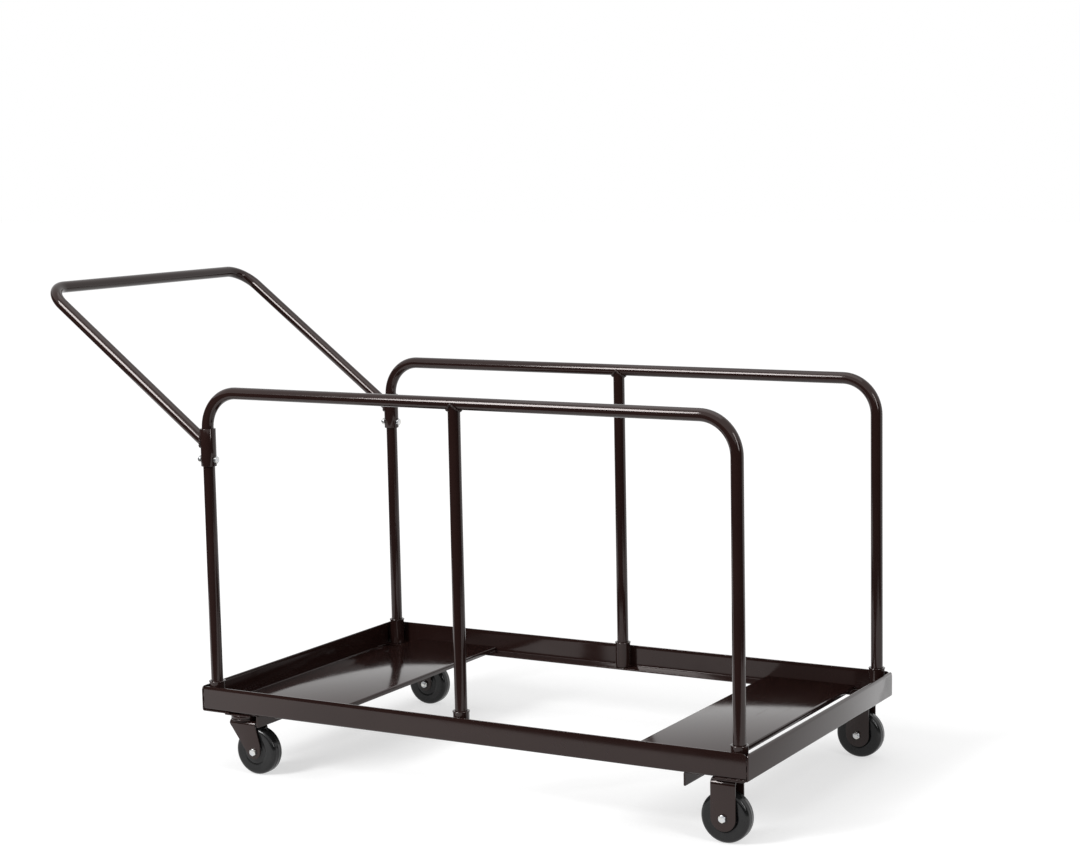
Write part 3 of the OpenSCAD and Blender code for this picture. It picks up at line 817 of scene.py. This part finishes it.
def pressed_u(name, back, front, y, half, top):
    """Crown of the fork with both side edges ready to be drawn down into legs."""
    corner = Vector((back, y - half, top))
    return sheet(name, corner, Vector((front - back, 0, 0)), Vector((0, 2 * half, 0)))


def draw_leg(piece, side_y, top, rows, rounds):
    """Draws one leg down row by row; a row is (height, back x, front x). The last corners are rounded."""
    in_row = lambda co, z: abs(co.y - side_y) < same_place and abs(co.z - z) < same_place
    ends = [vert.co.x for vert in piece.data.vertices if in_row(vert.co, top)]
    level, back, front = top, min(ends), max(ends)
    for height, new_back, new_front in rows:
        pick(piece, "EDGE", lambda co: in_row(co, level))
        pull((0, 0, height - level))
        for old, new in ((back, new_back), (front, new_front)):
            if abs(new - old) > same_place:
                pick(piece, "VERT", lambda co: in_row(co, height) and abs(co.x - old) < same_place)
                bpy.ops.transform.translate(value=(new - old, 0, 0))
        level, back, front = height, new_back, new_front
    for x, offset in ((back, rounds[0]), (front, rounds[1])):
        pick(piece, "VERT", lambda co: in_row(co, level) and abs(co.x - x) < same_place)
        bpy.ops.mesh.bevel(offset=offset * 0.995, segments=14, affect="VERTICES")


def press_fork(piece, y, half, top, bend):
    """Bends the legs, gives the blank its thickness and rounds its cut edges."""
    pick(piece, "EDGE", lambda co: abs(abs(co.y - y) - half) < same_place and abs(co.z - top) < same_place)
    bpy.ops.mesh.bevel(offset=bend, segments=8, affect="EDGES")
    face_out(piece, Vector((0, 0, 1)))
    modify(piece, "SOLIDIFY", thickness=fork_sheet, offset=-1, use_even_offset=True)
    soften(piece, 0.0007, 3)
    return piece


def swivel_fork(name, lo, hi):
    """Fork that rakes back to its axle, with the lower race on its crown."""
    pin, axle = middle("front_left_kingpin"), middle("front_left_wheel")
    front_x = pin.x + crown_front
    shoulder = Vector((pin.x - shoulder_back, swivel_crown - shoulder_drop))
    slant = Vector((axle.x, axle.z)) - shoulder
    lean = math.atan2(slant.x, -slant.y) - math.asin(leg_end / slant.length)
    edge_x = lambda z: shoulder.x + (shoulder.y - z) * math.tan(lean)
    foot_x = edge_x(axle.z - leg_end)
    fork = pressed_u(name, shoulder.x, front_x, pin.y, fork_half, swivel_crown)
    for side_y in (pin.y - fork_half, pin.y + fork_half):
        draw_leg(
            fork, side_y, swivel_crown,
            [
                (shoulder.y, shoulder.x, front_x),
                (axle.z + leg_end, edge_x(axle.z + leg_end), axle.x + leg_end),
                (axle.z - leg_end, foot_x, axle.x + leg_end),
            ],
            (axle.x - foot_x, leg_end),
        )
    press_fork(fork, pin.y, fork_half, swivel_crown, swivel_bend)
    return join(fork, race(name + "_race", pin, swivel_crown, 1))


def rigid_fork(name, lo, hi):
    """Straight fork with round ends to its legs."""
    y, half = (lo.y + hi.y) / 2, (hi.y - lo.y) / 2
    leg_half = (hi.x - lo.x) / 2
    fork = pressed_u(name, lo.x, hi.x, y, half, hi.z)
    for side_y in (lo.y, hi.y):
        draw_leg(fork, side_y, hi.z, [(lo.z, lo.x, hi.x)], (leg_half, leg_half))
    return press_fork(fork, y, half, hi.z, rigid_bend)


fork_bodies = {
    "front_left": "front_swivel", "rear_left": "rear_swivel", "front_right": "frame", "rear_right": "frame",
}
swivel_forks = like_pieces(("front_left_fork", "rear_left_fork"), "_pressed", swivel_fork)
rigid_forks = like_pieces(("front_right_fork", "rear_right_fork"), "_pressed", rigid_fork)
for node, fork in swivel_forks + rigid_forks:
    set_up(fork, fork_bodies[node.removesuffix("_fork")], brown, "brown_paint", node)

# Kingpins and rivets. Plated pins with a broad head below the crown hold the forks to their plates;
# the swivel forks turn on theirs. Their heads show only from underneath.
pin_head = 0.004


def headed_pin(name, lo, hi):
    """Pin with a broad, lightly domed head at its foot."""
    head_r = (hi.x - lo.x) / 2
    tall = hi.z - lo.z
    return lathe(
        name,
        [
            (0.0, 0.0), (head_r * 0.62, 0.0002), (head_r * 0.86, 0.0008), (head_r, 0.0022),
            (head_r, pin_head), (pin_r, pin_head),
            (pin_r, tall - 0.0004), (pin_r - 0.0004, tall), (0.0, tall),
        ],
        ((lo.x + hi.x) / 2, (lo.y + hi.y) / 2, lo.z),
        (0, 0, 1),
        40,
    )


kingpins = like_pieces(("front_left_kingpin", "rear_left_kingpin"), "_headed", headed_pin)
rivets = like_pieces(("front_right_rivet", "rear_right_rivet"), "_headed", headed_pin)
for node, pin in kingpins + rivets:
    set_up(pin, "frame", zinc, "zinc", node)

# Balls and bushes. Hard steel balls carry the swivel forks between their races, and a plain steel bush
# is clamped between the legs of each fork for the wheel to turn on.
def ground_steel():
    """Plain ground steel with a film of grease."""
    steel, tree, shader, coords = new_finish("ground_steel")
    tone = ramp(tree, noise(tree, coords, 160, 3), 0.35, shop_dirt, 0.7, grey(0.46))
    gloss = ramp(tree, noise(tree, coords, 220, 3), 0.3, grey(0.18), 0.7, grey(0.35))
    tree.links.new(tone, shader.inputs["Base Color"])
    tree.links.new(gloss, shader.inputs["Roughness"])
    tree.links.new(bump(tree, noise(tree, coords, 800, 3), 0.12, 0.0001), shader.inputs["Normal"])
    shader.inputs["Metallic"].default_value = 1.0
    return steel


steel = ground_steel()
for node in (
    "front_left_balls", "rear_left_balls",
    "front_left_bush", "rear_left_bush", "front_right_bush", "rear_right_bush",
):
    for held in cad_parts[node].material_slots:
        held.material = steel

# Wheels. Solid hard black rubber moulded on a hub: a flat tread with rounded shoulders and a faint mould
# line, and shallow dished sides with turned rings round the hub.
tread_half = 0.0159
tread_shoulder = 0.0085
mould_line = 0.0002
wheel_bore = 0.0072
wheel_dish = 0.0007
hub_r = 0.0160
ring_r = 0.0258
rubber_deep = (0.0058, 0.0058, 0.0060, 1)
rubber_pale = (0.0105, 0.0105, 0.0108, 1)
rubber_worn = (0.040, 0.039, 0.038, 1)
floor_dust = (0.040, 0.038, 0.036, 1)


def moulded_rubber():
    """Hard black rubber: satin skin with fine grain, and a dusty, scuffed tread."""
    rubber, tree, shader, coords = new_finish("hard_black_rubber")
    colour = ramp(tree, noise(tree, coords, 16, 4), 0.3, rubber_deep, 0.72, rubber_pale)
    dust = ramp(tree, noise(tree, coords, 75, 5), 0.52, grey(0), 0.80, grey(0.22))
    colour = mix_colour(tree, dust, colour, floor_dust)
    patches = ramp(tree, noise(tree, coords, 110, 3), 0.40, grey(0.05), 0.7, grey(0.4))
    worn = times(tree, sharp_edges(tree, 0.0016), patches)
    colour = mix_colour(tree, worn, colour, rubber_worn)
    tree.links.new(colour, shader.inputs["Base Color"])
    gloss = ramp(tree, noise(tree, coords, 48, 4), 0.3, grey(0.14), 0.7, grey(0.25))
    tree.links.new(gloss, shader.inputs["Roughness"])
    grain = bump(tree, noise(tree, coords, 700, 4), 0.06, 0.0002)
    tree.links.new(grain, shader.inputs["Normal"])
    shader.inputs["Specular IOR Level"].default_value = 0.32
    return rubber


def moulded_wheel(name, lo, hi):
    """Wheel turned from half its section, given as (radius, half width) from the bore to the tread."""
    rim, hub_half = (hi.x - lo.x) / 2, (hi.y - lo.y) / 2
    half = [
        (wheel_bore, hub_half - 0.0004), (wheel_bore + 0.0004, hub_half),
        (hub_r - 0.0012, hub_half), (hub_r, hub_half - 0.0004), (hub_r + 0.0008, hub_half - 0.0014),
        (hub_r + 0.0012, tread_half - 0.0003), (hub_r + 0.0022, tread_half - 0.0006),
        (hub_r + 0.0036, tread_half - wheel_dish), (ring_r - 0.0008, tread_half - wheel_dish),
        (ring_r - 0.0004, tread_half - 0.0009), (ring_r + 0.0004, tread_half - 0.0009),
        (ring_r + 0.0008, tread_half - wheel_dish), (rim - 0.0180, tread_half - 0.0006),
        (rim - 0.0150, tread_half - 0.0004), (rim - 0.0125, tread_half - 0.0001), (rim - 0.0105, tread_half),
    ]
    for step in range(9):
        turn = math.pi / 2 * (1 - step / 8)
        half.append((
            rim - mould_line - tread_shoulder * (1 - math.cos(turn)),
            tread_half - tread_shoulder * (1 - math.sin(turn)),
        ))
    half += [(rim - mould_line, 0.0008), (rim, 0.0003)]
    section = [(r, -w) for r, w in half] + [(r, w) for r, w in reversed(half)]
    return lathe(name, section, (lo + hi) / 2, (0, 1, 0), 112)


rubber = moulded_rubber()
wheels = ("front_left_wheel", "rear_left_wheel", "front_right_wheel", "rear_right_wheel")
for node, wheel in like_pieces(wheels, "_moulded", moulded_wheel):
    set_up(wheel, "wheel_" + node.removesuffix("_wheel"), rubber, "black_rubber", node)

# Axle bolts and nuts. A zinc-plated hex bolt clamps each fork's legs on the bush, its head on the outer
# side of the trolley and its nut on the inner side.
axle_head = 0.006
axle_ways = {"front": Vector((0, 1, 0)), "rear": Vector((0, -1, 0))}


def axle_bolt(name, lo, hi):
    """Bolt through a left fork; the right one's is like it."""
    side = name.split("_")[0]
    seat = middle(side + "_left_wheel") - axle_ways[side] * fork_half
    tip = hi.y - lo.y - 2 * fork_half - axle_head
    return hex_bolt(name, seat, axle_ways[side], axle_head, 2 * fork_half, tip)


def axle_nut(name, lo, hi):
    """Nut on the inner side of a left fork; the right one's is like it."""
    side = name.split("_")[0]
    seat = middle(side + "_left_wheel") + axle_ways[side] * fork_half
    return hex_block(name, seat, axle_ways[side], hi.y - lo.y, True)


for side in axle_ways:
    bolts = like_pieces((side + "_left_axle", side + "_right_axle"), "_turned", axle_bolt)
    nuts = like_pieces((side + "_left_axle_nut", side + "_right_axle_nut"), "_turned", axle_nut)
    for node, piece in bolts + nuts:
        set_up(piece, fork_bodies[node.split("_axle")[0]], zinc, "zinc", node)

# Welds of the base. Short beads close the slits at the corners and hold the sockets, decks, cross angles
# and caster plates. They are ground no further and coated with the rest.
corner_bead = 0.0017
edge_bead = 0.0019
socket_bead = 0.0026
bead_ripple = 0.0019


def weld_run(name, start, end, radius):
    """Rippled bead from one point to another, thinned out at both ends."""
    clear()
    way = end - start
    bpy.ops.mesh.primitive_cylinder_add(
        vertices=10, radius=radius, depth=way.length, location=(start + end) / 2,
        rotation=way.to_track_quat("Z", "Y").to_euler())
    piece = named(name)
    line = way.normalized()
    pick(piece, "EDGE", lambda co: False)
    in_object_mode()
    for edge in piece.data.edges:
        a, b = (piece.data.vertices[i].co for i in edge.vertices)
        edge.select = abs((b - a).normalized().dot(line)) > 0.99
    bpy.ops.object.mode_set(mode="EDIT")
    bpy.ops.mesh.subdivide(number_cuts=max(6, int(way.length / 0.0011)))
    in_object_mode()
    for vert in piece.data.vertices:
        at = (vert.co - start).dot(line)
        core = start + line * at
        share = at / way.length
        taper = min(1, 0.25 + 9 * min(share, 1 - share))
        swell = 1 + 0.16 * math.sin(at / bead_ripple * math.tau + start.x * 900)
        vert.co = core + (vert.co - core) * swell * taper
    return piece


beads = []
for node in side_rails:
    lo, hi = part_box(node)
    y = lo.y + 0.0022 if node.startswith("front") else hi.y - 0.0022
    for x in (lo.x - 0.0007, hi.x + 0.0007):
        for low, high in ((0.006, 0.016), (0.027, 0.038)):
            beads.append(weld_run(
                "corner_weld", Vector((x, y, lo.z + low)), Vector((x, y, lo.z + high)), corner_bead))
for node in sockets:
    lo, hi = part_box(node)
    near = node.startswith("front")
    rail_lo, rail_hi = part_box("front_side_rail" if near else "rear_side_rail")
    y = rail_lo.y + rail_sheet + 0.0021 if near else rail_hi.y - rail_sheet - 0.0021
    for shift in (-0.0085, 0.0085):
        x = (lo.x + hi.x) / 2 + shift
        beads.append(weld_run(
            "socket_weld", Vector((x, y, rail_hi.z - 0.022)),
            Vector((x, y, rail_hi.z - 0.0015)), socket_bead))
for node in decks:
    lo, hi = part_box(node)
    for y, inner in ((lo.y, 1), (hi.y, -1)):
        for x in (lo.x - 0.0006, hi.x + 0.0006):
            beads.append(weld_run(
                "deck_weld", Vector((x, y + inner * 0.004, lo.z + 0.0006)),
                Vector((x, y + inner * 0.030, lo.z + 0.0006)), edge_bead))
for node in cross_angles:
    lo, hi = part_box(node)
    for y in (lo.y - 0.0004, hi.y + 0.0004):
        beads.append(weld_run(
            "cross_weld", Vector((lo.x + 0.012, y, hi.z - 0.0008)),
            Vector((hi.x - 0.012, y, hi.z - 0.0008)), edge_bead))
for node, plate in swivel_plates + rigid_plates:
    lo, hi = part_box(node)
    y = hi.y + 0.0005 if node.startswith("front") else lo.y - 0.0005
    beads.append(weld_run(
        "plate_weld", Vector((lo.x + 0.012, y, hi.z - 0.0010)),
        Vector((hi.x - 0.012, y, hi.z - 0.0010)), edge_bead))
welds = join(*beads)
welds.name = "base_welds"
set_up(welds, "frame", welded_brown, "brown_paint")

# Studio. A plain white floor and surround, a tall soft lamp on either side and one above. Dark cloth
# beside and behind the camera shows in the gloss coat alone. The floor keeps the trolley's shadow.
clear()
bpy.ops.mesh.primitive_plane_add(size=60, location=(0, 0, -0.0002))
floor = named("studio_floor")
white, tree, shader, coords = new_finish("studio_white")
shader.inputs["Base Color"].default_value = grey(0.50)
shader.inputs["Roughness"].default_value = 0.9
shader.inputs["Specular IOR Level"].default_value = 0.0
far = tree.nodes.new("ShaderNodeVectorMath")
far.operation = "LENGTH"
tree.links.new(coords, far.inputs[0])
rise = tree.nodes.new("ShaderNodeMapRange")
rise.inputs["From Min"].default_value = 0.9
rise.inputs["From Max"].default_value = 3.2
rise.inputs["To Min"].default_value = 0.58
rise.inputs["To Max"].default_value = 0.82
tree.links.new(far.outputs["Value"], rise.inputs["Value"])
lift = tree.nodes.new("ShaderNodeEmission")
tree.links.new(rise.outputs["Result"], lift.inputs["Strength"])
shown = tree.nodes.new("ShaderNodeAddShader")
tree.links.new(shader.outputs["BSDF"], shown.inputs[0])
tree.links.new(lift.outputs["Emission"], shown.inputs[1])


def on_sight(tree):
    """1 for what the camera sees, straight or through a reflection, and 0 for the light on the object."""
    path = tree.nodes.new("ShaderNodeLightPath")
    total = path.outputs["Is Camera Ray"]
    for kind in ("Is Glossy Ray", "Is Transmission Ray"):
        most = tree.nodes.new("ShaderNodeMath")
        most.operation = "MAXIMUM"
        tree.links.new(total, most.inputs[0])
        tree.links.new(path.outputs[kind], most.inputs[1])
        total = most.outputs["Value"]
    return total


choose = tree.nodes.new("ShaderNodeMixShader")
tree.links.new(on_sight(tree), choose.inputs["Fac"])
tree.links.new(shader.outputs["BSDF"], choose.inputs[1])
tree.links.new(shown.outputs["Shader"], choose.inputs[2])
tree.links.new(choose.outputs["Shader"], tree.nodes["Material Output"].inputs["Surface"])
floor.data.materials.append(white)

black, _, shader, _ = new_finish("studio_cloth")
shader.inputs["Base Color"].default_value = grey(0.03)
shader.inputs["Roughness"].default_value = 0.9
shader.inputs["Specular IOR Level"].default_value = 0.0
cloths = []
for name, corner, across, up in (
    ("studio_cloth", (-5.0, -7.0, 0.0), (10.0, 0, 0), (0, 5.95, 0)),
    ("left_cloth", (-5.0, -1.05, 0.0), (2.6, 0, 0), (0, 2.05, 0)),
    ("right_cloth", (2.4, -1.05, 0.0), (2.6, 0, 0), (0, 2.05, 0)),
    ("front_drape", (-5.0, -7.0, 0.0), (10.0, 0, 0), (0, 0, 2.3)),
    ("left_drape", (-5.0, -7.0, 0.0), (0, 8.0, 0), (0, 0, 2.3)),
    ("right_drape", (5.0, -7.0, 0.0), (0, 8.0, 0), (0, 0, 2.3)),
):
    cloths.append(sheet(name, Vector(corner), Vector(across), Vector(up)))
cloth = join(*cloths)
cloth.data.materials.append(black)
cloth.visible_camera = False
cloth.visible_diffuse = False
cloth.visible_shadow = False

world = bpy.data.worlds.new("studio_surround")
bpy.context.scene.world = world
world.use_nodes = True
tree = world.node_tree
light = tree.nodes["Background"]
light.inputs["Color"].default_value = grey(1)
light.inputs["Strength"].default_value = 0.45
plain = tree.nodes.new("ShaderNodeBackground")
plain.inputs["Color"].default_value = grey(1)
plain.inputs["Strength"].default_value = 1.0
choose = tree.nodes.new("ShaderNodeMixShader")
tree.links.new(on_sight(tree), choose.inputs["Fac"])
tree.links.new(light.outputs["Background"], choose.inputs[1])
tree.links.new(plain.outputs["Background"], choose.inputs[2])
tree.links.new(choose.outputs["Shader"], tree.nodes["World Output"].inputs["Surface"])

for name, place, target, wide, tall, power in (
    ("soft_lamp", (-1.72, -3.7, 2.75), (0.2, 0, 0.5), 1.3, 1.9, 175),
    ("top_lamp", (0.2, -0.2, 3.6), (0.2, -0.2, 0.5), 3.0, 2.4, 26),
    ("side_lamp", (3.2, -1.3, 1.75), (0.8, -0.34, 0.4), 0.6, 1.6, 28),
):
    clear()
    bpy.ops.object.light_add(type="AREA", location=place)
    lamp = bpy.context.object
    lamp.name = name
    lamp.data.name = name
    lamp.data.shape = "RECTANGLE"
    lamp.data.size = wide
    lamp.data.size_y = tall
    lamp.data.energy = power
    lamp.rotation_euler = (Vector(target) - lamp.location).to_track_quat("-Z", "Y").to_euler()

# Camera. It stands where the photograph was taken from, at the front right and a little above the handle,
# and looks through a long lens.
camera_place = Vector((2.5689, -4.1309, 1.3156))
clear()
bpy.ops.object.camera_add()
camera = bpy.context.object
yaw, pitch, roll = math.radians(29.81), math.radians(7.21), -0.0197
ahead = Vector((-math.sin(yaw) * math.cos(pitch), math.cos(yaw) * math.cos(pitch), -math.sin(pitch)))
level = Vector((math.cos(yaw), math.sin(yaw), 0))
above = level.cross(ahead)
right = level * math.cos(roll) + above * math.sin(roll)
upward = above * math.cos(roll) - level * math.sin(roll)
turn = Matrix((right, upward, -ahead)).transposed().to_4x4()
turn.translation = camera_place
camera.matrix_world = turn
camera.data.sensor_width = 36
camera.data.sensor_fit = "HORIZONTAL"
camera.data.lens = 75.69
camera.data.clip_end = 100
bpy.context.scene.camera = camera
bpy.context.scene.view_settings.view_transform = "Standard"
